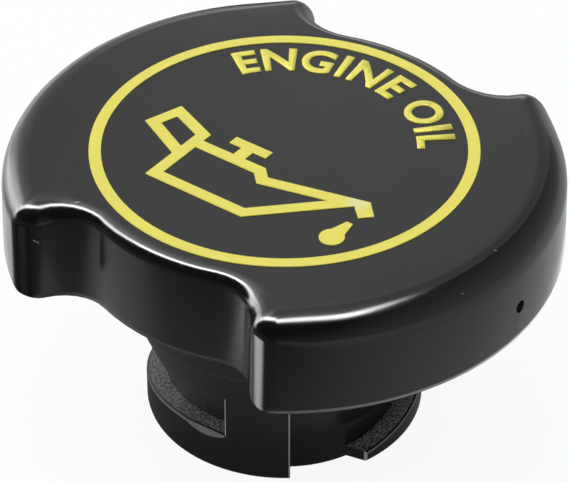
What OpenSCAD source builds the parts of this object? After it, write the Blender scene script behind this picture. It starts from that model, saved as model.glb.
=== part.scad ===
// Quarter-turn oil filler cap for an engine's filler neck.
// It stands on the open end of its bayonet barrel, at z = 0, with the printed top face up.
// The two lobes of the handle lie along X and the two finger notches along Y.

/* [Handle] */
// Diameter over the two lobes
cap_d = 72; // [68:0.5:84]
// Height from the end of the barrel to the top face
cap_height = 40.5; // [38:0.5:50]
// Height of the handle's skirt
skirt_height = 14.4; // [12:0.2:16]
// Radius of the bottom of each finger notch
notch_r = 27.5; // [26.5:0.1:29]
// Half of the angle that a notch's bottom takes before its blends start
notch_half_angle = 18.6; // [8:0.1:20]
// Radius of the corner between a notch and a lobe, in plan
corner_r = 3.3; // [2.4:0.1:4.5]
// Radius of the hollow blend from a notch's bottom to its corner, in plan
notch_blend_r = 6.3; // [4.5:0.1:8]
// Rounding of the top rim on the lobes
rim_round = 4.3; // [2:0.1:5]
// Rounding of the top rim in the notches
notch_rim_round = 1.8; // [1:0.1:2.3]
// Rounding of the skirt's lower edge
skirt_edge_round = 1.5; // [0.6:0.1:1.8]
// Draft of the skirt's outside, in degrees
skirt_draft = 1.3; // [0:0.1:2]
// Thickness of the skirt's wall
skirt_wall = 2.4; // [2:0.1:3]
// Thickness of the top plate
top_plate = 2.6; // [2:0.1:4]
// Rounding inside, between the top plate and the skirt
roof_round = 1.2; // [0.5:0.1:1.5]
// Radius of the small moulding dimple in the rim
dimple_r = 0.85; // [0.5:0.05:1.2]
// Depth of the dimple
dimple_depth = 0.6; // [0.2:0.05:0.9]
// Depth of the dimple's centre below the top face
dimple_drop = 8.8; // [6:0.1:10]

/* [Inside of the handle] */
// Thickness of the wall of the hub under the top plate
hub_wall = 2.4; // [1.8:0.1:3.2]
// How far the hub reaches below the skirt
hub_below_skirt = 4.1; // [1:0.1:5]
// Thickness of the ribs between hub and skirt
rib_thickness = 1.6; // [1:0.1:2.2]
// Height of the ribs' lower edge above the skirt's lower edge
rib_recess = 3; // [1:0.1:6]
// Angle between the middle rib of a lobe and the ribs beside it
lobe_rib_angle = 34; // [25:1:40]

/* [Plug] */
// Outer radius of the barrel at its open end
barrel_r = 15.7; // [15:0.1:16.5]
// Radius of the barrel's bore at its open end
bore_r = 13.2; // [11:0.1:13.8]
// Draft of the bore, in degrees
bore_draft = 0.5; // [0:0.1:1]
// Depth of the bore
bore_depth = 22; // [12:0.5:24]
// Radius of the flange on which the seal sits
flange_r = 20.3; // [19.8:0.1:21]
// Width of the flange's upper face, from its edge in to the spigot
flange_land = 3.4; // [2.8:0.1:4.2]
// Thickness of the flange's straight edge
flange_edge = 0.5; // [0.3:0.1:1]
// Height at which the barrel starts to flare out to the flange
flare_z = 5.5; // [4:0.1:8]
// Lean of the flare just below the flange, in millimetres of radius for each millimetre of height
flare_lean = 0.33; // [0.2:0.01:0.45]
// Thickness of the web that closes the bore
web_thickness = 2.4; // [1.5:0.1:4]
// Wall of the spigot
spigot_wall = 2.4; // [1.5:0.1:3]
// Gap between the spigot's end and the top plate
spigot_end_gap = 1.2; // [0.4:0.1:3]
// Radial clearance between the spigot and what goes round it
spigot_clearance = 0.1; // [0.05:0.01:0.3]
// Rounding of the barrel's lower edge
barrel_edge_round = 0.4; // [0.2:0.05:0.8]

/* [Bayonet] */
// Radius over the two bayonet lugs
lug_r = 18.4; // [17.6:0.1:19]
// Angle at which the entry of the first lug lies
lug_entry_angle = 342.5; // [330:0.5:355]
// Angle that the ramp and the dwell of a lug take
ledge_angle = 119; // [100:1:125]
// Angle that the climb of the ramp takes
ramp_angle = 100; // [60:1:100]
// Angle that the stop block at the end of a lug takes
stop_angle = 27.3; // [15:0.1:35]
// Height of the lugs' undersides above the barrel's end
lug_lift = 0.45; // [0.2:0.05:1]
// Thickness of a lug at its entry
entry_thickness = 1.6; // [1.2:0.1:3]
// Thickness of a lug at its dwell
dwell_thickness = 6; // [4.5:0.1:7]
// Angle over which the entry face of a lug leans in to the barrel
lead_in_angle = 6; // [2:0.5:10]
// Rounding of the lugs' outer edges
lug_edge_round = 0.35; // [0.15:0.05:0.5]

/* [Seal ring] */
// Thickness of the seal ring
seal_thickness = 3.6; // [2:0.1:5]
// How far the seal ring stands out past the flange
seal_stand_out = 0.5; // [0:0.1:1.2]
// Rounding of the seal ring's edges
seal_round = 0.8; // [0.3:0.1:1.2]

/* [Printed marking] */
// Thickness of the printed layer
print_thickness = 0.12; // [0.05:0.01:0.3]
// Outer radius of the printed ring
print_ring_r = 24.8; // [20:0.1:25]
// Width of the printed ring
print_ring_band = 1.55; // [0.8:0.05:2.5]
// Width of the strokes of the oil can
can_stroke = 1.6; // [1:0.05:1.8]
// Radius of the drop under the spout
drop_r = 1.6; // [1:0.05:2.2]

/* [Hidden] */
$fn = 96;

cap_r = cap_d / 2;
skirt_z = cap_height - skirt_height;
roof_z = cap_height - top_plate;
hub_end_z = skirt_z - hub_below_skirt;
flange_z = hub_end_z - seal_thickness;
spigot_r = flange_r - flange_land;
around_spigot_r = spigot_r + spigot_clearance;
hub_r = around_spigot_r + hub_wall;
seal_r = flange_r + seal_stand_out;
// Smallest corner radius that the inside of the skirt keeps
inner_corner_r = 0.7;
// How far pieces of one moulding reach into each other
weld = 0.5;

// Steps of the rounded edges and segments of the plan's arcs
rim_steps = 8;
edge_steps = 3;
roof_steps = 2;
notch_segments = 4;
blend_segments = 7;
corner_segments = 10;
lobe_segments = 15;

// Plan of the handle, one quarter from the notch at +Y to the lobe at +X.
// Every curve can be asked for at an inset from the outline.
function polar(radius, angle) = radius * [cos(angle), sin(angle)];
function heading(p) = atan2(p[1], p[0]);
function mix(a, b, share) = a + (b - a) * share;
function ease(share) = let (s = min(max(share, 0), 1)) s * s * (3 - 2 * s);

blend_angle = 90 - notch_half_angle;
blend_centre = polar(notch_r + notch_blend_r, blend_angle);

// A corner touches the lobe's arc on one side and the notch's blend on the other
function corner_radius(inset) = max(corner_r - inset, inner_corner_r);
function corner_centre(inset) =
    let (
        r = corner_radius(inset),
        to_axis = cap_r - inset - r,
        to_blend = notch_blend_r + inset + r,
        between = notch_r + notch_blend_r,
        cosine = (between * between + to_axis * to_axis - to_blend * to_blend)
            / (2 * between * to_axis)
    )
    polar(to_axis, blend_angle - acos(cosine));

// Stations along the quarter: which curve, and how far along it
NOTCH = 0;
BLEND = 1;
CORNER = 2;
LOBE = 3;
stations = concat(
    [for (i = [0 : notch_segments - 1]) [NOTCH, i / notch_segments]],
    [for (i = [0 : blend_segments - 1]) [BLEND, i / blend_segments]],
    [for (i = [0 : corner_segments - 1]) [CORNER, i / corner_segments]],
    [for (i = [0 : lobe_segments]) [LOBE, i / lobe_segments]]
);

function plan_point(station, inset) =
    let (
        curve = station[0],
        share = station[1],
        corner = corner_centre(inset),
        joint = heading(corner - blend_centre)
    )
    curve == NOTCH ? polar(notch_r - inset, mix(90, blend_angle, share)) :
    curve == BLEND ? blend_centre
        + polar(notch_blend_r + inset, mix(blend_angle - 180, joint, share)) :
    curve == CORNER ? corner
        + polar(corner_radius(inset), mix(joint + 180, heading(corner), share)) :
    polar(cap_r - inset, mix(heading(corner), 0, share));

// Lengths of the curves along the outline
function arc(radius, angle) = radius * angle * PI / 180;
outer_corner = corner_centre(0);
corner_joint = heading(outer_corner - blend_centre) + 180;
blend_length = arc(notch_blend_r, corner_joint - blend_angle);
corner_length = arc(corner_r, corner_joint - heading(outer_corner));
lobe_length = arc(cap_r, heading(outer_corner));

// Place of a station along the outline, counted from the start of the corner
function along(station) =
    let (
        curve = station[0],
        share = station[1]
    )
    curve == NOTCH ? -blend_length :
    curve == BLEND ? -blend_length * (1 - share) :
    curve == CORNER ? corner_length * share :
    corner_length + lobe_length * share;

// Rounding of the top rim at a station. It grows on the way out from a notch to the corner,
// where it stays just inside the corner's radius in plan, and grows on along the lobe.
corner_margin = 0.2;
corner_rim_round = corner_r - corner_margin;
rim_lead = 7;
rim_tail = 9;
waist_share = 0.2;
rim_waist = corner_length * waist_share;
function rim_radius(station) =
    let (past_waist = along(station) - rim_waist)
    notch_rim_round
        + (corner_rim_round - notch_rim_round) * ease(1 + past_waist / (rim_lead + rim_waist))
        + (rim_round - corner_rim_round) * ease(past_waist / rim_tail);

// Section of the shell at a station, as [inset, height], from the top face to the roof
function skirt_flare(station) =
    tan(skirt_draft) * (skirt_height - rim_radius(station) - skirt_edge_round);
function section(station) =
    let (
        rim = rim_radius(station),
        flare = skirt_flare(station),
        last = 90 - skirt_draft
    )
    concat(
        [for (i = [0 : rim_steps])
            let (a = last * i / rim_steps)
            [rim * (1 - sin(a)), cap_height - rim * (1 - cos(a))]],
        [for (i = [0 : edge_steps])
            let (a = 90 * i / edge_steps)
            [skirt_edge_round * (1 - cos(a)) - flare, skirt_z + skirt_edge_round * (1 - sin(a))]],
        [[skirt_wall - flare, skirt_z]],
        [for (i = [0 : roof_steps])
            let (a = 90 * i / roof_steps)
            [skirt_wall + roof_round * (1 - cos(a)), roof_z - roof_round * (1 - sin(a))]]
    );
section_steps = len(section(stations[0]));

function quarter_ring(step) = [
    for (s = stations)
        let (
            place = section(s)[step],
            p = plan_point(s, place[0])
        )
        [p[0], p[1], place[1]]
];
function mirrored(ring, x_sign, y_sign) = [for (p = ring) [p[0] * x_sign, p[1] * y_sign, p[2]]];
function reversed(ring) = [for (i = [len(ring) - 1 : -1 : 0]) ring[i]];
function without_last(ring) = [for (i = [0 : len(ring) - 2]) ring[i]];

// The whole ring, clockwise from +Y
function full_ring(step) =
    let (q = quarter_ring(step))
    concat(
        without_last(q),
        without_last(reversed(mirrored(q, 1, -1))),
        without_last(mirrored(q, -1, -1)),
        without_last(reversed(mirrored(q, -1, 1)))
    );

module shell() {
    count = 4 * (len(stations) - 1);
    points = [for (step = [0 : section_steps - 1]) each full_ring(step)];
    sides = [
        for (step = [0 : section_steps - 2])
            for (i = [0 : count - 1])
                let (
                    a = step * count + i,
                    b = step * count + (i + 1) % count
                )
                [a, a + count, b + count, b]
    ];
    last = (section_steps - 1) * count;
    top_centre = last + count;
    roof_centre = top_centre + 1;
    top = [for (i = [0 : count - 1]) [top_centre, i, (i + 1) % count]];
    roof = [for (i = [0 : count - 1]) [roof_centre, last + (i + 1) % count, last + i]];
    polyhedron(
        concat(points, [[0, 0, cap_height], [0, 0, roof_z]]),
        concat(top, sides, roof),
        4
    );
}

module hub() {
    translate([0, 0, hub_end_z])
        difference() {
            cylinder(h = roof_z - hub_end_z + weld, r = hub_r);
            translate([0, 0, -weld])
                cylinder(h = roof_z - hub_end_z + weld, r = around_spigot_r);
        }
}

module rib(reach) {
    rib_z = skirt_z + rib_recess;
    start = hub_r - weld;
    translate([start, -rib_thickness / 2, rib_z])
        cube([reach - start, rib_thickness, roof_z - rib_z + weld]);
}

module ribs() {
    for (side = [0, 180]) {
        for (a = [-lobe_rib_angle, 0, lobe_rib_angle])
            rotate(side + a)
                rib(cap_r - skirt_wall + weld);
        rotate(side + 90)
            rib(notch_r - skirt_wall + weld);
    }
}

module dimple() {
    translate([cap_r - dimple_depth, 0, cap_height - dimple_drop])
        rotate([0, 90, 0])
            cylinder(h = 2 * dimple_depth + 1, r = dimple_r, $fn = 24);
}

module grip() {
    color("#2b2c2e")
        difference() {
            union() {
                shell();
                hub();
                ribs();
            }
            dimple();
        }
}

// Flare from the barrel up to the flange, as a curve with a straight start at each end
flare_height = flange_z - flange_edge - flare_z;
flare_steps = 14;
low_pull = 0.14;
high_pull = 0.58;
function flare_point(t) =
    let (
        p0 = [barrel_r, flare_z],
        p1 = [barrel_r, flare_z + flare_height * low_pull],
        p3 = [flange_r, flange_z - flange_edge],
        p2 = p3 - flare_height * high_pull * [flare_lean, 1]
    )
    pow(1 - t, 3) * p0 + 3 * pow(1 - t, 2) * t * p1 + 3 * (1 - t) * t * t * p2 + pow(t, 3) * p3;

spigot_top = roof_z - spigot_end_gap;
web_top = bore_depth + web_thickness;
bore_top_r = bore_r - bore_depth * tan(bore_draft);

module plug_barrel() {
    rotate_extrude()
        polygon(concat(
            [[bore_r, 0]],
            [for (a = [-90 : 30 : 0])
                [barrel_r - barrel_edge_round, barrel_edge_round] + polar(barrel_edge_round, a)],
            [for (i = [0 : flare_steps]) flare_point(i / flare_steps)],
            [
                [flange_r, flange_z],
                [spigot_r, flange_z],
                [spigot_r, spigot_top],
                [spigot_r - spigot_wall, spigot_top],
                [spigot_r - spigot_wall, web_top],
                [0, web_top],
                [0, bore_depth],
                [bore_top_r, bore_depth]
            ]
        ));
}

// The ramp climbs evenly up to its knee and rounds off into the dwell
ramp_steps = 20;
ramp_knee = 0.8;
knee_height = 0.88;
function climb(share) =
    share < 0 ? 0 :
    share < ramp_knee ? share * knee_height / ramp_knee :
    share < 1 ? 1 - (1 - knee_height) * pow((1 - share) / (1 - ramp_knee), 2) :
    1;

// What lies above the ledge of a lug, swept round from before its entry to the stop block
// and down over the rounding of the ledge's outer edge
module above_ramp() {
    reach = lug_r + weld;
    clear_z = flange_z;
    half_round = lug_edge_round * (1 - sin(45));
    steep = tan(67.5);
    angles = concat(
        [-4 * lead_in_angle],
        [for (i = [0 : ramp_steps]) ramp_angle * i / ramp_steps],
        [ledge_angle]
    );
    function ramp_height(a) = mix(entry_thickness, dwell_thickness, climb(a / ramp_angle));
    function slice(a) =
        let (h = ramp_height(a))
        [
            for (corner = [
                [bore_r, h],
                [lug_r - lug_edge_round, h],
                [lug_r - half_round, h - half_round],
                [reach, h - half_round - (weld + half_round) * steep],
                [reach, clear_z],
                [bore_r, clear_z]
            ])
                let (p = polar(corner[0], a))
                [p[0], p[1], corner[1]]
        ];
    points = [for (a = angles) each slice(a)];
    corners = len(slice(0));
    top_corner = corners - 2;
    last = corners * (len(angles) - 1);
    fan = [for (i = [1 : corners - 2])
        [top_corner, (top_corner + i) % corners, (top_corner + i + 1) % corners]];
    sides = [
        for (s = [0 : len(angles) - 2])
            for (i = [0 : corners - 1])
                let (
                    here = corners * s + i,
                    beside = corners * s + (i + 1) % corners
                )
                [here, beside, beside + corners, here + corners]
    ];
    polyhedron(
        points,
        concat([for (f = fan) [f[2], f[1], f[0]]], sides, [for (f = fan) f + last * [1, 1, 1]]),
        4
    );
}

// What the lean of a lug's entry face takes away
module before_entry() {
    outer = polar(lug_r, 0);
    inner = polar(barrel_r, -lead_in_angle);
    translate([outer[0], outer[1], -1])
        rotate(heading(outer - inner))
            translate([-lug_r, -lug_r / 2, 0])
                cube([2 * lug_r, lug_r / 2, flange_z]);
}

// What the rounding of an upright edge takes away from a block that lies before or after it.
// The round stands out by a hair, so that its facets cross the block's faces.
hair = 0.01;
module block_edge(low, block_before) {
    r = lug_edge_round;
    inset = r - hair;
    translate([lug_r - inset, block_before ? -inset : inset, low])
        linear_extrude(flange_z - low)
            difference() {
                translate([0, block_before ? 0 : -2 * r])
                    square(2 * r);
                circle(r, $fn = 16);
            }
}

// A ring sector with the stop block at its end, cut down to the ledge in front of the block
block_share = 0.86;
module lug() {
    root_r = (bore_r + barrel_r) / 2;
    block_top = flare_z - lug_lift + flare_height * block_share;
    start = -2 * lead_in_angle;
    end = ledge_angle + stop_angle;
    low_edge = [lug_r - lug_edge_round, lug_edge_round];
    difference() {
        rotate(start)
            rotate_extrude(angle = end - start)
                polygon(concat(
                    [[root_r, 0]],
                    [for (a = [-90 : 30 : 0]) low_edge + polar(lug_edge_round, a)],
                    [[lug_r, block_top], [root_r, block_top]]
                ));
        above_ramp();
        before_entry();
        rotate(ledge_angle)
            block_edge(dwell_thickness, false);
        rotate(end)
            block_edge(-weld, true);
    }
}

module bayonet_plug() {
    color("#2a2b2d")
        union() {
            plug_barrel();
            for (side = [0, 180])
                translate([0, 0, lug_lift])
                    rotate(lug_entry_angle + side)
                        lug();
        }
}

module seal_ring() {
    low = flange_z;
    high = hub_end_z;
    color("#1d1d1e")
        rotate_extrude()
            polygon(concat(
                [[around_spigot_r, low]],
                [for (a = [-90 : 15 : 0])
                    [seal_r - seal_round, low + seal_round] + polar(seal_round, a)],
                [for (a = [0 : 15 : 90])
                    [seal_r - seal_round, high - seal_round] + polar(seal_round, a)],
                [[around_spigot_r, high]]
            ));
}

// Oil can: the handle's loop, the body with its spout, the filler cap and the drop
can_body = [
    [-10.5, -5.3], [1, -5.3], [2.4, -6.7], [15.7, -3.3],
    [15, -4.6], [4.5, -15.1], [-10.5, -15.1]
];
can_handle = [[-15.8, -0.9], [-8.9, -3.7], [-8.9, -10.4], [-17.6, -6.2]];
can_tip = [[14, -4.6], [15.7, -3.3], [17.7, -5.4], [16.3, -6.8], [15, -5.6]];
can_filler_cap = [[-6, -3.6], [-6, -2.1], [-0.3, -2.1], [-0.3, -3.6]];
can_filler_neck = [[-4.1, -3.4], [-4.1, -5.6], [-2.3, -5.6], [-2.3, -3.4]];
drop_centre = [15.9, -11.8];
drop_neck = [[15.6, -8.2], [16.5, -8.2], [16.9, -10.6], [14.9, -10.6]];

module outlined(points) {
    difference() {
        polygon(points);
        offset(delta = -can_stroke)
            polygon(points);
    }
}

module printed_mark() {
    color("#f8eb60")
        translate([0, 0, cap_height]) {
            difference() {
                cylinder(h = print_thickness, r = print_ring_r);
                translate([0, 0, -1])
                    cylinder(h = print_thickness + 2, r = print_ring_r - print_ring_band);
            }
            linear_extrude(print_thickness) {
                outlined(can_body);
                outlined(can_handle);
                polygon(can_tip);
                polygon(can_filler_cap);
                polygon(can_filler_neck);
                translate(drop_centre)
                    circle(drop_r);
                polygon(drop_neck);
            }
        }
}

grip();
bayonet_plug();
seal_ring();
printed_mark();
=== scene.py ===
"""Looks of an oil filler cap: satin black mouldings, a rubber seal, yellow print and a studio."""

import math

import bmesh
import bpy
from bpy.props import (
    BoolProperty,
    FloatProperty,
    FloatVectorProperty,
    PointerProperty,
    StringProperty,
)
from mathutils import Matrix, Vector


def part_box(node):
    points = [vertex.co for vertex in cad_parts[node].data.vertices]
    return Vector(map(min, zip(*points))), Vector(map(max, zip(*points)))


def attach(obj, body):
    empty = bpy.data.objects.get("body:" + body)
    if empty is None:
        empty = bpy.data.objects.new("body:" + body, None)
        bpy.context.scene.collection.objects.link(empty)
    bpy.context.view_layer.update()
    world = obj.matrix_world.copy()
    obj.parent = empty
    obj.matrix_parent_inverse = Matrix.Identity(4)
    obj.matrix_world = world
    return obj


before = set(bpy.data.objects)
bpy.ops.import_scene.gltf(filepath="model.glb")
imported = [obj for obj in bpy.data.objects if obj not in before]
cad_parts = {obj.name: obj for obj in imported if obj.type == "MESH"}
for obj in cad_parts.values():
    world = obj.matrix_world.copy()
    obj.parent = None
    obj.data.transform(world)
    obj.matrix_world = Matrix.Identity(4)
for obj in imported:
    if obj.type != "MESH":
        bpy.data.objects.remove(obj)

bl_info = {
    "name": "Oil filler cap",
    "version": (1, 0, 0),
    "blender": (4, 5, 0),
    "location": "View3D > Sidebar > Filler cap",
    "description": "Finishes the moulded pieces of an oil filler cap, letters its face "
                   "and builds the studio",
    "category": "Object",
}

MM = 0.001
DEGREES = 180 / math.pi
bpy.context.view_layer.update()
FACE_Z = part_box("grip")[1].z
LOBE_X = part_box("grip")[1].x
SEAL_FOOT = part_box("seal_ring")[0].z
PRINT_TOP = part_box("printed_mark")[1].z


# Shader maths

def operator_pair(operation):
    """An operator and its reflected form, which both add a Math node."""

    def forward(self, other):
        return self.shader.math(operation, self, other)

    def reflected(self, other):
        return self.shader.math(operation, other, self)

    return forward, reflected


class Wire:
    """A shader socket on which Python arithmetic adds Math nodes."""

    __add__, __radd__ = operator_pair("ADD")
    __sub__, __rsub__ = operator_pair("SUBTRACT")
    __mul__, __rmul__ = operator_pair("MULTIPLY")
    __truediv__, __rtruediv__ = operator_pair("DIVIDE")
    __pow__, __rpow__ = operator_pair("POWER")

    def __init__(self, shader, socket):
        self.shader = shader
        self.socket = socket

    def __neg__(self):
        return self * -1.0

    def beside(self, output):
        """Another output of the same node."""
        return Wire(self.shader, self.socket.node.outputs[output])

    def math(self, operation, *values):
        return self.shader.math(operation, self, *values)

    def floor_at(self, low):
        return self.math("MAXIMUM", low)

    def ceil_at(self, high):
        return self.math("MINIMUM", high)

    def ramp(self, low, high, first=0.0, last=1.0):
        """Goes smoothly from first to last while this value goes from low to high."""
        return self.shader.add(
            "ShaderNodeMapRange",
            {"interpolation_type": "SMOOTHSTEP"},
            {"Value": self, "From Min": low, "From Max": high, "To Min": first, "To Max": last},
        )


class Shader:
    """Builds one node tree; add() makes any node from its type, settings and socket values."""

    def __init__(self, tree):
        self.tree = tree
        tree.nodes.clear()

    def add(self, kind, settings=None, inputs=None, output=0):
        node = self.tree.nodes.new(kind)
        for name, value in (settings or {}).items():
            setattr(node, name, value)
        for name, value in (inputs or {}).items():
            socket = node.inputs[name]
            if isinstance(value, Wire):
                self.tree.links.new(value.socket, socket)
            else:
                socket.default_value = value
        return Wire(self, node.outputs[output]) if len(node.outputs) else None

    def math(self, operation, *values):
        return self.add("ShaderNodeMath", {"operation": operation}, dict(enumerate(values)))

    def vector(self, operation, *values, output="Vector"):
        settings = {"operation": operation}
        return self.add("ShaderNodeVectorMath", settings, dict(enumerate(values)), output)

    def scaled(self, vector, scale):
        settings = {"operation": "SCALE"}
        return self.add("ShaderNodeVectorMath", settings, {0: vector, "Scale": scale}, "Vector")

    def dot(self, first, second):
        return self.vector("DOT_PRODUCT", first, second, output="Value")

    def length(self, vector):
        return self.vector("LENGTH", vector, output="Value")

    def distance(self, first, second):
        return self.vector("DISTANCE", first, second, output="Value")

    def parts(self, vector):
        """The X, Y and Z of a vector."""
        node = self.add("ShaderNodeSeparateXYZ", None, {0: vector})
        return [node.beside(axis) for axis in "XYZ"]

    def noise(self, vector, scale, detail, roughness=0.5):
        inputs = {"Vector": vector, "Scale": scale, "Detail": detail, "Roughness": roughness}
        return self.add("ShaderNodeTexNoise", None, inputs)

    def mix_colour(self, factor, first, second):
        return self.add("ShaderNodeMix", {"data_type": "RGBA"},
                        {0: factor, 6: first, 7: second}, 2)

    def bump(self, height, distance, normal=None):
        inputs = {"Height": height, "Distance": distance, "Strength": 1.0}
        if normal is not None:
            inputs["Normal"] = normal
        return self.add("ShaderNodeBump", None, inputs)

    def surface(self, inputs):
        shade = self.add("ShaderNodeBsdfPrincipled", None, inputs)
        self.add("ShaderNodeOutputMaterial", None, {"Surface": shade})


def colour(value, level=1.0):
    return (value[0] * level, value[1] * level, value[2] * level, 1.0)


def grey(level):
    return (level, level, level, 1.0)


def new_material(name):
    material = bpy.data.materials.new(name)
    material.use_nodes = True
    return material, Shader(material.node_tree)


def object_place(shader):
    return shader.add("ShaderNodeTexCoord", None, None, "Object")


def swing(noise, amount):
    """A noise turned into a swing about zero."""
    return (noise - 0.5) * amount


def clouded(shader, cloud, value, low, high):
    """A colour that drifts between two levels of itself."""
    return shader.mix_colour(cloud, colour(value, low), colour(value, high))


def ray_kinds(shader):
    """1 for what the camera sees, and 1 for what the gloss sees."""
    path = shader.add("ShaderNodeLightPath")
    seen = path.beside("Is Camera Ray") + path.beside("Is Transmission Ray")
    return seen, path.beside("Is Glossy Ray")


# Sizes and colours that a user would change

class CapFinishSettings(bpy.types.PropertyGroup):
    plastic: FloatVectorProperty(
        name="Plastic", description="Colour of the moulded plastic",
        subtype="COLOR", size=3, min=0, max=1, default=(0.0058, 0.0060, 0.0063))
    gloss_roughness: FloatProperty(
        name="Handle roughness", description="Roughness of the handle's moulded skin",
        default=0.14, min=0.02, max=1)
    plug_roughness: FloatProperty(
        name="Plug roughness", description="Roughness of the plug's skin",
        default=0.26, min=0.02, max=1)
    rubber: FloatVectorProperty(
        name="Rubber", description="Colour of the seal",
        subtype="COLOR", size=3, min=0, max=1, default=(0.0075, 0.0075, 0.0078))
    ink: FloatVectorProperty(
        name="Ink", description="Colour of the print",
        subtype="COLOR", size=3, min=0, max=1, default=(0.930, 0.840, 0.126))
    grain: FloatProperty(
        name="Grain", description="Height of the moulded skin's fine grain",
        subtype="DISTANCE", default=0.0016 * MM, min=0, max=0.1 * MM)


class LetteringSettings(bpy.types.PropertyGroup):
    words: StringProperty(
        name="Words", description="Words printed along the ring", default="ENGINE OIL")
    arc_radius: FloatProperty(
        name="Arc radius", description="Radius of the letters' middle line",
        subtype="DISTANCE", default=19.3 * MM)
    cap_height: FloatProperty(
        name="Letter height", description="Height of a capital letter",
        subtype="DISTANCE", default=5.1 * MM)
    half_angle: FloatProperty(
        name="Half angle", description="Angle from the middle of the words to each end",
        subtype="ANGLE", default=math.radians(55.5))
    weight: FloatProperty(
        name="Weight", description="How far each letter's outline is grown",
        default=0.03, min=0, max=0.08)


class StudioSettings(bpy.types.PropertyGroup):
    ambient: FloatProperty(
        name="Ambient", description="Level of the soft light all round", default=0.82, min=0)
    soft_box: FloatProperty(
        name="Soft box", description="Strength of the overhead soft box", default=1.0, min=0)
    floor_size: FloatProperty(
        name="Floor", description="Radius of the floor",
        subtype="DISTANCE", default=1.6, min=0.2)
    keep_shadow: BoolProperty(
        name="Shadow", description="The white floor keeps the shadow", default=True)


# Materials

PLASTIC_IOR = 1.5
INK_IOR = 1.45

# Place of the upright ridge between a lobe and a notch, the same in all four quarters
RIDGE_X = 18.4 * MM
RIDGE_Y = 30.0 * MM
RIDGE_REACH = 2.1 * MM
RIDGE_CREST = 0.1 * MM
RIDGE_STRENGTH = 0.9
# Where the skin of a ridge seems to face: up and towards the notch
RIDGE_FACING = (-0.46, 0.63, 0.62)

# The dimple on the lobe's side, whose floor carries a painted highlight: a light grey disc
DIMPLE_FLOOR = (LOBE_X - 0.6 * MM, 0.0, FACE_Z - 8.8 * MM)
DIMPLE_RADIUS = 0.6 * MM
DIMPLE_HIGHLIGHT = grey(0.5)

# Fine scratches on the handle, as (start, end, width) in millimetres
SCRATCHES = [
    ((-13.95, -24.90, 40.36), (-13.40, -24.35, 40.47), 0.07),
    ((-17.03, -29.57, 36.08), (-16.37, -29.05, 35.43), 0.06),
    ((33.72, -9.85, 38.87), (33.72, -9.40, 38.78), 0.07),
    ((33.05, -1.90, 40.23), (33.30, -1.60, 40.18), 0.08),
]
SCRATCH_COLOUR = (0.4, 0.4, 0.39, 1.0)
DUST_COLOUR = (0.16, 0.16, 0.15, 1.0)

# The lugs lie below LUG_TOP, their outer edges beyond LUG_RIM and their ledges above LEDGE_LOW
LUG_TOP = 9.5 * MM
LUG_RIM = 18.0 * MM
LEDGE_LOW = 1.5 * MM
# Painted glints: the light grey painted on the ledges' grains, which are also a real bump
LEDGE_GLINT_COLOUR = grey(0.27)
LEDGE_GRAIN_HEIGHT = 0.06 * MM
# Painted highlights: the grey painted on the lugs' upper and side edges, and how strongly it is
# painted
UPPER_EDGE_HIGHLIGHT = grey(0.16)
SIDE_EDGE_HIGHLIGHT = grey(0.5)
EDGE_HIGHLIGHT_STRENGTH = 0.8

# Height of the painted shadow, a black band at the seal's foot
SEAL_SHADE = 0.45 * MM
SHADOW_BLACK = grey(0.0)

# Where the print on the can's spout is painted paler
PALE_SPOT = (14.4 * MM, -4.3 * MM, PRINT_TOP)
PALE_COLOUR = (0.93, 0.89, 0.5, 1.0)


def dust(shader, place, cells, size):
    """1 on sparse specks of dust, of one size, in so many cells to the metre."""
    inputs = {"Vector": place, "Scale": cells, "Randomness": 1.0}
    middle = shader.add("ShaderNodeTexVoronoi", {"feature": "F1"}, inputs, "Distance")
    chance = shader.parts(middle.beside("Color"))[0]
    return (middle * (1.0 / cells)).ramp(size, size * 0.5) * chance.ramp(0.80, 0.84)


def scratch(shader, place, start, end, width):
    """1 on a thin straight scratch between two points in millimetres, fading at its ends."""
    start, end = Vector(start) * MM, Vector(end) * MM
    along = end - start
    offset = shader.vector("SUBTRACT", place, start)
    share = shader.dot(offset, along) * (1.0 / along.length_squared)
    share = share.floor_at(0.0).ceil_at(1.0)
    apart = shader.distance(offset, shader.scaled(along, share))
    return apart.ramp(width * MM, width * MM * 0.3) * (share * (1 - share) * 4).ramp(0.0, 0.6)


def leaning_ridges(shader, place):
    """A mask of the four upright ridges, and a normal that leans there.

    The lean is only in the shading. It gives the narrow ridges a broad soft highlight.
    """
    normal = shader.add("ShaderNodeTexCoord", None, None, "Normal")
    across, deep, _ = shader.parts(place)
    aside = across.math("ABSOLUTE") - RIDGE_X
    ahead = deep.math("ABSOLUTE") - RIDGE_Y
    upright = shader.parts(normal)[2].ramp(0.3, 0.1)
    away = (aside * aside + ahead * ahead).math("SQRT")
    ridge = away.ramp(RIDGE_REACH, RIDGE_CREST, last=RIDGE_STRENGTH) * upright
    facing = shader.add("ShaderNodeCombineXYZ", None, {
        "X": across.math("SIGN") * RIDGE_FACING[0],
        "Y": deep.math("SIGN") * RIDGE_FACING[1],
        "Z": RIDGE_FACING[2],
    })
    lean = shader.scaled(shader.vector("SUBTRACT", facing, normal), ridge)
    return ridge, shader.vector("NORMALIZE", shader.vector("ADD", normal, lean))


def moulded_skin(shader, place, roughness, grain, base_normal=None):
    """Flow shade, roughness and normal of a satin moulding with fine pores."""
    flow = shader.noise(place, scale=90.0, detail=3.0)
    pores = shader.noise(place, scale=5200.0, detail=2.0, roughness=0.6)
    rough = roughness + swing(flow, 0.06) + swing(pores, 0.05)
    return flow, rough, shader.bump(pores, grain, base_normal)


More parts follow.
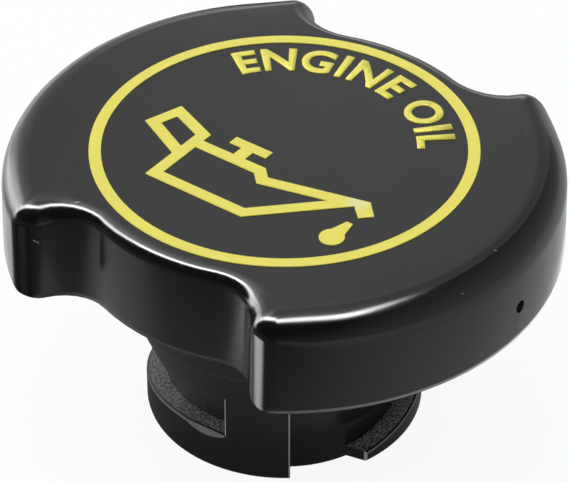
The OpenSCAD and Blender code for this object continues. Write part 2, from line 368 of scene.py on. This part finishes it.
def handle_material(settings):
    material, shader = new_material("handle_skin")
    place = object_place(shader)
    ridge, leaning = leaning_ridges(shader, place)
    flow, rough, normal = moulded_skin(
        shader, place, settings.gloss_roughness, settings.grain, leaning)
    marks = dust(shader, place, cells=260.0, size=0.09 * MM) * 0.4
    for start, end, width in SCRATCHES:
        marks = marks.floor_at(scratch(shader, place, start, end, width))
    # Painted highlight: a light grey disc in the dimple
    dimple_highlight = shader.distance(place, DIMPLE_FLOOR).ramp(DIMPLE_RADIUS * 1.2, DIMPLE_RADIUS)
    base = clouded(shader, flow, settings.plastic, low=0.9, high=1.12)
    base = shader.mix_colour(marks, base, SCRATCH_COLOUR)
    base = shader.mix_colour(dimple_highlight, base, DIMPLE_HIGHLIGHT)
    shader.surface({"Base Color": base, "Roughness": rough + marks * 0.3 + ridge * 0.25,
                    "Normal": normal, "IOR": PLASTIC_IOR})
    return material


def plug_material(settings):
    """Satin skin with painted highlights on the lugs' edges and painted glints on the grains of
    their ledges.
    """
    material, shader = new_material("plug_skin")
    place = object_place(shader)
    flow, rough, normal = moulded_skin(
        shader, place, settings.plug_roughness, settings.grain * 1.5)
    height = shader.parts(place)[2]
    from_axis = shader.vector("MULTIPLY", place, (1, 1, 0))
    facing = shader.add("ShaderNodeNewGeometry", None, None, "True Normal")
    upward = shader.parts(facing)[2]
    radial = shader.dot(facing, shader.vector("NORMALIZE", from_axis)).math("ABSOLUTE")

    lug = height.ramp(LUG_TOP, LUG_TOP - 0.7 * MM)
    rim = shader.length(from_axis).ramp(LUG_RIM - 0.1 * MM, LUG_RIM + 0.1 * MM)
    # Masks of the lugs' rounded outer edges, the upper edges and the upright side edges, where
    # painted highlights go
    upper_edge_highlight = rim * lug * upward.ramp(0.15, 0.3) * upward.ramp(0.75, 0.6)
    level_edge = upward.math("ABSOLUTE").ramp(0.2, 0.1)
    side_edge = rim * radial.ramp(0.25, 0.4) * radial.ramp(0.96, 0.9) * level_edge
    ledge = upward.ramp(0.93, 0.97) * lug * height.ramp(LEDGE_LOW - 0.1 * MM, LEDGE_LOW + 0.1 * MM)
    grains = shader.noise(place, scale=4600.0, detail=1.0, roughness=0.7)
    specks = dust(shader, place, cells=300.0, size=0.07 * MM)

    base = clouded(shader, flow, settings.plastic, low=0.9, high=1.15)
    # Painted glints: the ledges' grains painted light grey over their bump
    base = shader.mix_colour(ledge * grains.ramp(0.40, 0.62), base, LEDGE_GLINT_COLOUR)
    # Painted highlights: the lugs' edges painted grey
    base = shader.mix_colour(upper_edge_highlight * EDGE_HIGHLIGHT_STRENGTH, base, UPPER_EDGE_HIGHLIGHT)
    base = shader.mix_colour(side_edge * EDGE_HIGHLIGHT_STRENGTH, base, SIDE_EDGE_HIGHLIGHT)
    base = shader.mix_colour(specks * 0.4, base, DUST_COLOUR)
    shader.surface({"Base Color": base, "Roughness": rough + ledge * 0.2, "IOR": PLASTIC_IOR,
                    "Normal": shader.bump(grains * ledge, LEDGE_GRAIN_HEIGHT, normal)})
    return material


def rubber_material(settings):
    """Dull rubber with a painted shadow at its foot, where it meets the plug's flange: black, and
    metallic so that it reflects nothing.
    """
    material, shader = new_material("seal_rubber")
    place = object_place(shader)
    cloud = shader.noise(place, scale=400.0, detail=3.0)
    fine = shader.noise(place, scale=6000.0, detail=1.0)
    shade_top = SEAL_FOOT + SEAL_SHADE
    shade = shader.parts(place)[2].ramp(shade_top + 0.1 * MM, shade_top - 0.1 * MM)
    base = clouded(shader, cloud, settings.rubber, low=0.85, high=1.25)
    # Painted shadow: the seal's foot painted black and made metallic black, which reflects nothing
    base = shader.mix_colour(shade, base, SHADOW_BLACK)
    shader.surface({"Base Color": base, "Roughness": 0.55 + swing(cloud, 0.12),
                    "Metallic": shade, "IOR": PLASTIC_IOR,
                    "Normal": shader.bump(fine, 0.004 * MM)})
    return material


def ink_material(settings):
    material, shader = new_material("yellow_print")
    place = object_place(shader)
    cloud = shader.noise(place, scale=250.0, detail=3.0)
    grain = shader.noise(place, scale=4200.0, detail=2.0)
    pale_patch = shader.distance(place, PALE_SPOT).ramp(2.2 * MM, 0.4 * MM, 0.0, 0.7)
    base = clouded(shader, cloud, settings.ink, low=0.96, high=1.03)
    base = shader.mix_colour(pale_patch, base, PALE_COLOUR)
    shader.surface({"Base Color": base, "Roughness": 0.42 + swing(grain, 0.15), "IOR": INK_IOR,
                    "Normal": shader.bump(grain, 0.002 * MM)})
    return material


# Pieces

# Angle in degrees above which an edge of a piece stays sharp
SHARP_ANGLES = {"grip": 35, "bayonet_plug": 35, "seal_ring": 50, "printed_mark": 30}
MERGE_DISTANCE = 0.002 * MM
LETTER_SPACING = 1.12
# Longest edge of a letter before it is bent, and the gap that is closed, both in text sizes
LONGEST_LETTER_EDGE = 0.12
LETTER_MERGE_DISTANCE = 1e-5


def smooth_group(name, angle):
    """Node group that shades a mesh smooth, with sharp edges above an angle."""
    group = bpy.data.node_groups.new(name, "GeometryNodeTree")
    for way in ("INPUT", "OUTPUT"):
        group.interface.new_socket("Geometry", in_out=way, socket_type="NodeSocketGeometry")
    nodes = Shader(group)
    mesh = nodes.add("NodeGroupInput")
    faces = nodes.add("GeometryNodeSetShadeSmooth", {"domain": "FACE"},
                      {0: mesh, "Shade Smooth": True})
    bend = nodes.add("GeometryNodeInputMeshEdgeAngle")
    sharp = nodes.add("FunctionNodeCompare",
                      {"data_type": "FLOAT", "operation": "GREATER_THAN"}, {0: bend, 1: angle})
    edges = nodes.add("GeometryNodeSetShadeSmooth", {"domain": "EDGE"},
                      {0: faces, "Selection": sharp, "Shade Smooth": False})
    nodes.add("NodeGroupOutput", None, {0: edges})
    return group


def dress(node, material):
    """Gives a moulding its material, joins its triangles and shades it, all by modifiers."""
    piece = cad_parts[node]
    for slot in piece.material_slots:
        slot.material = material
    join = piece.modifiers.new("Join", "WELD")
    join.merge_threshold = MERGE_DISTANCE
    shade = piece.modifiers.new("Shade", "NODES")
    shade.node_group = smooth_group(piece.name + "_shade", math.radians(SHARP_ANGLES[node]))
    weigh = piece.modifiers.new("Normals", "WEIGHTED_NORMAL")
    weigh.keep_sharp = True
    weigh.weight = 60


class CAP_OT_handle(bpy.types.Operator):
    """Finishes the two-lobed handle with its satin skin, dust, scratches and a painted highlight
    in its dimple
    """

    bl_idname = "cap.handle"
    bl_label = "Handle"

    def execute(self, context):
        dress("grip", handle_material(context.scene.cap_finish))
        return {"FINISHED"}


class CAP_OT_plug(bpy.types.Operator):
    """Finishes the bayonet plug with its satin skin, painted highlights on its lug edges and
    painted glints on the grained ledges of its lugs
    """

    bl_idname = "cap.plug"
    bl_label = "Bayonet plug"

    def execute(self, context):
        dress("bayonet_plug", plug_material(context.scene.cap_finish))
        return {"FINISHED"}


class CAP_OT_seal(bpy.types.Operator):
    """Finishes the rubber seal ring"""

    bl_idname = "cap.seal"
    bl_label = "Seal ring"

    def execute(self, context):
        dress("seal_ring", rubber_material(context.scene.cap_finish))
        return {"FINISHED"}


class CAP_OT_print(bpy.types.Operator):
    """Finishes the printed ring and oil can, and prints the words on their arc"""

    bl_idname = "cap.print"
    bl_label = "Print"

    def execute(self, context):
        ink = ink_material(context.scene.cap_finish)
        dress("printed_mark", ink)
        words = context.scene.cap_lettering
        mesh = self.flat_letters(words)
        self.bend_letters(mesh, words)
        mesh.materials.clear()
        mesh.materials.append(ink)
        piece = bpy.data.objects.new("printed_words", mesh)
        context.scene.collection.objects.link(piece)
        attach(piece, "root")
        return {"FINISHED"}

    def flat_letters(self, words):
        """The words as a flat mesh of text."""
        curve = bpy.data.curves.new("words", "FONT")
        curve.body = words.words
        curve.align_x = "CENTER"
        curve.size = 1.0
        curve.offset = words.weight
        curve.space_character = LETTER_SPACING
        curve.resolution_u = 6
        flat = bpy.data.objects.new("words_flat", curve)
        bpy.context.scene.collection.objects.link(flat)
        bpy.context.view_layer.update()
        mesh = bpy.data.meshes.new_from_object(flat)
        bpy.data.objects.remove(flat)
        return mesh

    def bend_letters(self, mesh, words):
        """Bends the flat words on the arc inside the ring and makes them a thin layer."""
        form = bmesh.new()
        form.from_mesh(mesh)
        bmesh.ops.remove_doubles(form, verts=form.verts, dist=LETTER_MERGE_DISTANCE)
        low = min(vert.co.y for vert in form.verts)
        high = max(vert.co.y for vert in form.verts)
        left = min(vert.co.x for vert in form.verts)
        right = max(vert.co.x for vert in form.verts)
        rise = words.cap_height / (high - low)
        turn = 2 * words.half_angle / (right - left)
        bmesh.ops.triangulate(form, faces=form.faces)
        for _ in range(2):
            long_edges = [edge for edge in form.edges
                          if abs(edge.verts[0].co.x - edge.verts[1].co.x) > LONGEST_LETTER_EDGE]
            bmesh.ops.subdivide_edges(form, edges=long_edges, cuts=1)
            bmesh.ops.triangulate(form, faces=[face for face in form.faces if len(face.verts) > 3])
        for vert in form.verts:
            radius = words.arc_radius + (vert.co.y - (low + high) / 2) * rise
            angle = math.pi / 2 - (vert.co.x - (left + right) / 2) * turn
            vert.co = (radius * math.cos(angle), radius * math.sin(angle), FACE_Z)
        lifted = bmesh.ops.extrude_face_region(form, geom=list(form.faces))
        risen = [item for item in lifted["geom"] if isinstance(item, bmesh.types.BMVert)]
        bmesh.ops.translate(form, verts=risen, vec=(0, 0, PRINT_TOP - FACE_Z))
        bmesh.ops.recalc_face_normals(form, faces=form.faces)
        form.to_mesh(mesh)
        form.free()


# Studio

# Camera fitted to the photograph: it looks along +Y turned by AZIMUTH and down by ELEVATION,
# from DISTANCE away, and its line of sight passes RISE below the middle of the printed face
AZIMUTH = math.radians(36.5)
ELEVATION = math.radians(37.691)
DISTANCE = 0.40582
RISE = 0.01201
FOCAL_PX = 3203.9
PICTURE_WIDTH_PX = 569

# Strength of the floor's white to the camera, its share there over the plain grey that takes
# the shadow, and the level of that grey
FLOOR_WHITE = 1.035
FLOOR_WHITE_SHARE = 0.88
FLOOR_GREY = 0.9
# The floor's least level in the gloss
FLOOR_DARK = 0.13


def seen_from_camera(azimuth, elevation):
    """Direction in the part's frame; azimuth 0 lies behind the cap and 90 to its right."""
    a, e = math.radians(azimuth), math.radians(elevation)
    direction = Vector((math.sin(a) * math.cos(e), math.cos(a) * math.cos(e), math.sin(e)))
    return Matrix.Rotation(AZIMUTH, 3, "Z") @ direction


# The soft box's bright front edge runs along a great circle, from low on the left up over the cap
EDGE_LOW = seen_from_camera(-60, 5)
EDGE_HIGH = seen_from_camera(140, 66)
EDGE_MIDDLE = (EDGE_LOW + EDGE_HIGH).normalized()
EDGE_PLANE = EDGE_LOW.cross(EDGE_HIGH).normalized()
if EDGE_PLANE.dot(seen_from_camera(0, 0)) < 0:
    EDGE_PLANE = -EDGE_PLANE
EDGE_ALONG = EDGE_PLANE.cross(EDGE_MIDDLE)


def glow(shader, look, azimuth, elevation, sharpness):
    """A round glow about one direction, narrower the higher its sharpness."""
    return shader.dot(look, seen_from_camera(azimuth, elevation)).floor_at(0.0) ** sharpness


def soft_box(shader, look):
    """Radiance of the overhead soft box, a bright front edge with paler cloth behind it.

    Places are in degrees: along the front edge from its middle, less than 0 to the left,
    and across it, more than 0 away from the camera.
    """
    across = shader.dot(look, EDGE_PLANE).math("ARCSINE") * DEGREES
    along = shader.dot(look, EDGE_ALONG).math("ARCTAN2", shader.dot(look, EDGE_MIDDLE)) * DEGREES

    # The front edge: it widens low on the left and bows towards the camera on the right
    widening = along.ramp(-28, -46)
    bow = along.ramp(12, 52, -8.5, 2.0)
    off = across - bow - widening * 10.5
    half_width = widening * 10.0 + 6.4
    near_side = (off + half_width).ramp(-2.0, 2.0)
    far_side = ((off - half_width) / (widening * 3.5 + 1.0)).ramp(-2.5, 2.5, 1.0, 0.0)
    ends = along.ramp(53, 57, 1.0, 0.0) * along.ramp(-88, -66)
    brightness = along.ramp(-48, -22, 3.3, 12.0) + along.ramp(-14, -4, 0.0, 16.0)
    brightness = brightness - along.ramp(30, 54, 0.0, 12.0)
    front_edge = brightness * near_side * far_side * ends

    # The short edge at the right end
    side_off = (along + across.ramp(10, 26, 0.0, 3.0) - 49.0).math("ABSOLUTE")
    side_edge = side_off.ramp(5.0, 2.5) * across.ramp(-2, 4) * across.ramp(30, 10) * 22.0

    # The cloth, which pales away from the front edge
    depth = across.floor_at(-4.0)
    left_cloth = (-(depth - 2.0) / 12.0).math("EXPONENT") * 3.7 + 0.5
    right_half = along.ramp(12, 22)
    top_cloth = (-depth / (right_half * 13.0 + 29.0)).math("EXPONENT") * (4.5 - right_half * 2.7)
    top_cloth = top_cloth * along.ramp(42, 52, 1.0, 0.0)
    top = along.ramp(-16, -6)
    cloth = near_side * (left_cloth * (1 - top) + top_cloth * top)
    return front_edge + side_edge + cloth


def glossy_floor(shader, place):
    """Level of the floor in the cap's gloss: dark in front, lighter to the right and behind."""
    out = shader.length(place)
    right = shader.dot(place, seen_from_camera(90, 0))
    back = shader.dot(place, seen_from_camera(0, 0))
    bearing = shader.dot(shader.vector("NORMALIZE", place), seen_from_camera(-61, 0))

    to_right = right.ramp(-15 * MM, 60 * MM, 0.0, 0.45) + right.ramp(60 * MM, 130 * MM, 0.0, 0.12)
    back_left = right.ramp(-30 * MM, -60 * MM) * back.ramp(0.0, 40 * MM) * 0.3
    far_back_left = right.ramp(-60 * MM, -100 * MM) * back.ramp(50 * MM, 80 * MM) * 0.8
    close = out.ramp(90 * MM, 60 * MM, 0.0, 0.12)
    beside_left = right.ramp(-35 * MM, -50 * MM) * right.ramp(-90 * MM, -70 * MM)
    beside_left = beside_left * back.ramp(-45 * MM, -20 * MM) * 0.35
    far_left = out.ramp(100 * MM, 320 * MM) * bearing.ramp(0.92, 0.97) * 3.0
    ring = out.ramp(34 * MM, 40 * MM) * out.ramp(60 * MM, 52 * MM)
    ring = ring * right.ramp(-30 * MM, 20 * MM, 0.3, 0.9)
    under_cap = out.ramp(18 * MM, 34 * MM, 0.4, 1.0)

    patches = to_right + back_left + far_back_left + close + beside_left + far_left + ring
    return (patches + FLOOR_DARK) * under_cap


def set_camera(scene):
    data = bpy.data.cameras.new("camera")
    data.sensor_width = 36.0
    data.lens = FOCAL_PX / PICTURE_WIDTH_PX * data.sensor_width
    data.clip_start = 0.01
    data.clip_end = 20.0
    camera = bpy.data.objects.new("camera", data)
    scene.collection.objects.link(camera)
    turn = Matrix.Rotation(AZIMUTH, 3, "Z")
    forward = turn @ Vector((0, math.cos(ELEVATION), -math.sin(ELEVATION)))
    up = turn @ Vector((0, math.sin(ELEVATION), math.cos(ELEVATION)))
    right = forward.cross(up)
    place = Vector((0, 0, FACE_Z)) - forward * DISTANCE - up * RISE
    axes = Matrix((right, up, -forward)).transposed()
    camera.matrix_world = Matrix.Translation(place) @ axes.to_4x4()
    scene.camera = camera


def light_surroundings(scene, studio):
    """White to the camera, the soft box and two glows to the gloss, a soft level to the rest."""
    world = bpy.data.worlds.new("studio")
    world.use_nodes = True
    world.cycles.sampling_method = "NONE"
    scene.world = world
    shader = Shader(world.node_tree)
    look = shader.add("ShaderNodeTexCoord", None, None, "Generated")
    right_glow = glow(shader, look, 93, -25, 0.7) * 0.6
    back_glow = glow(shader, look, 3, 20, 90.0) * 2.2
    gloss = soft_box(shader, look) * studio.soft_box + right_glow + back_glow
    from_left = shader.dot(look, seen_from_camera(-60, 0))
    even = (from_left * 0.8 + 1) * studio.ambient
    seen, glossy_ray = ray_kinds(shader)
    level = even + glossy_ray * (gloss - even)
    level = level + seen * (1 - level)
    light = shader.add("ShaderNodeBackground", None, {"Color": grey(1.0), "Strength": level})
    shader.add("ShaderNodeOutputWorld", None, {"Surface": light})


def floor_material(studio):
    """White to the camera with a share of plain grey, which keeps the cap's soft shadow."""
    material, shader = new_material("studio_floor")
    level = glossy_floor(shader, object_place(shader))
    seen, glossy_ray = ray_kinds(shader)
    white = shader.add("ShaderNodeEmission", None, {
        "Color": grey(1.0), "Strength": seen * FLOOR_WHITE + glossy_ray * level})
    plain = shader.add("ShaderNodeBsdfDiffuse", None, {"Color": grey(FLOOR_GREY)})
    share = glossy_ray + seen * (FLOOR_WHITE_SHARE if studio.keep_shadow else 1.0)
    both = shader.add("ShaderNodeMixShader", None, {0: share, 1: plain, 2: white})
    shader.add("ShaderNodeOutputMaterial", None, {"Surface": both})
    material.cycles.emission_sampling = "NONE"
    return material


def lay_floor(scene, studio):
    form = bmesh.new()
    bmesh.ops.create_circle(form, cap_ends=True, radius=studio.floor_size, segments=96)
    mesh = bpy.data.meshes.new("floor")
    form.to_mesh(mesh)
    form.free()
    mesh.materials.append(floor_material(studio))
    floor = bpy.data.objects.new("floor", mesh)
    scene.collection.objects.link(floor)


class CAP_OT_studio(bpy.types.Operator):
    """Builds the camera, the white floor and the soft surroundings"""

    bl_idname = "cap.studio"
    bl_label = "Studio"

    def execute(self, context):
        scene = context.scene
        set_camera(scene)
        light_surroundings(scene, scene.cap_studio)
        lay_floor(scene, scene.cap_studio)
        scene.view_settings.view_transform = "Standard"
        return {"FINISHED"}


class CAP_PT_panel(bpy.types.Panel):
    """Lists the pieces of the cap and their sizes and colours"""

    bl_idname = "CAP_PT_panel"
    bl_label = "Filler cap"
    bl_space_type = "VIEW_3D"
    bl_region_type = "UI"
    bl_category = "Filler cap"

    def draw(self, context):
        for operator in OPERATORS:
            self.layout.operator(operator.bl_idname)
        for name, group in SETTINGS.items():
            box = self.layout.box()
            for prop in group.__annotations__:
                box.prop(getattr(context.scene, name), prop)


OPERATORS = [CAP_OT_handle, CAP_OT_plug, CAP_OT_seal, CAP_OT_print, CAP_OT_studio]
SETTINGS = {
    "cap_finish": CapFinishSettings,
    "cap_lettering": LetteringSettings,
    "cap_studio": StudioSettings,
}


def register():
    for group in SETTINGS.values():
        bpy.utils.register_class(group)
    for cls in OPERATORS + [CAP_PT_panel]:
        bpy.utils.register_class(cls)
    for name, group in SETTINGS.items():
        setattr(bpy.types.Scene, name, PointerProperty(type=group))


def unregister():
    for name in SETTINGS:
        delattr(bpy.types.Scene, name)
    for cls in [CAP_PT_panel] + OPERATORS[::-1]:
        bpy.utils.unregister_class(cls)
    for group in SETTINGS.values():
        bpy.utils.unregister_class(group)


def main():
    register()
    for operator in OPERATORS:
        group, name = operator.bl_idname.split(".")
        getattr(getattr(bpy.ops, group), name)()


if __name__ == "__main__":
    main()
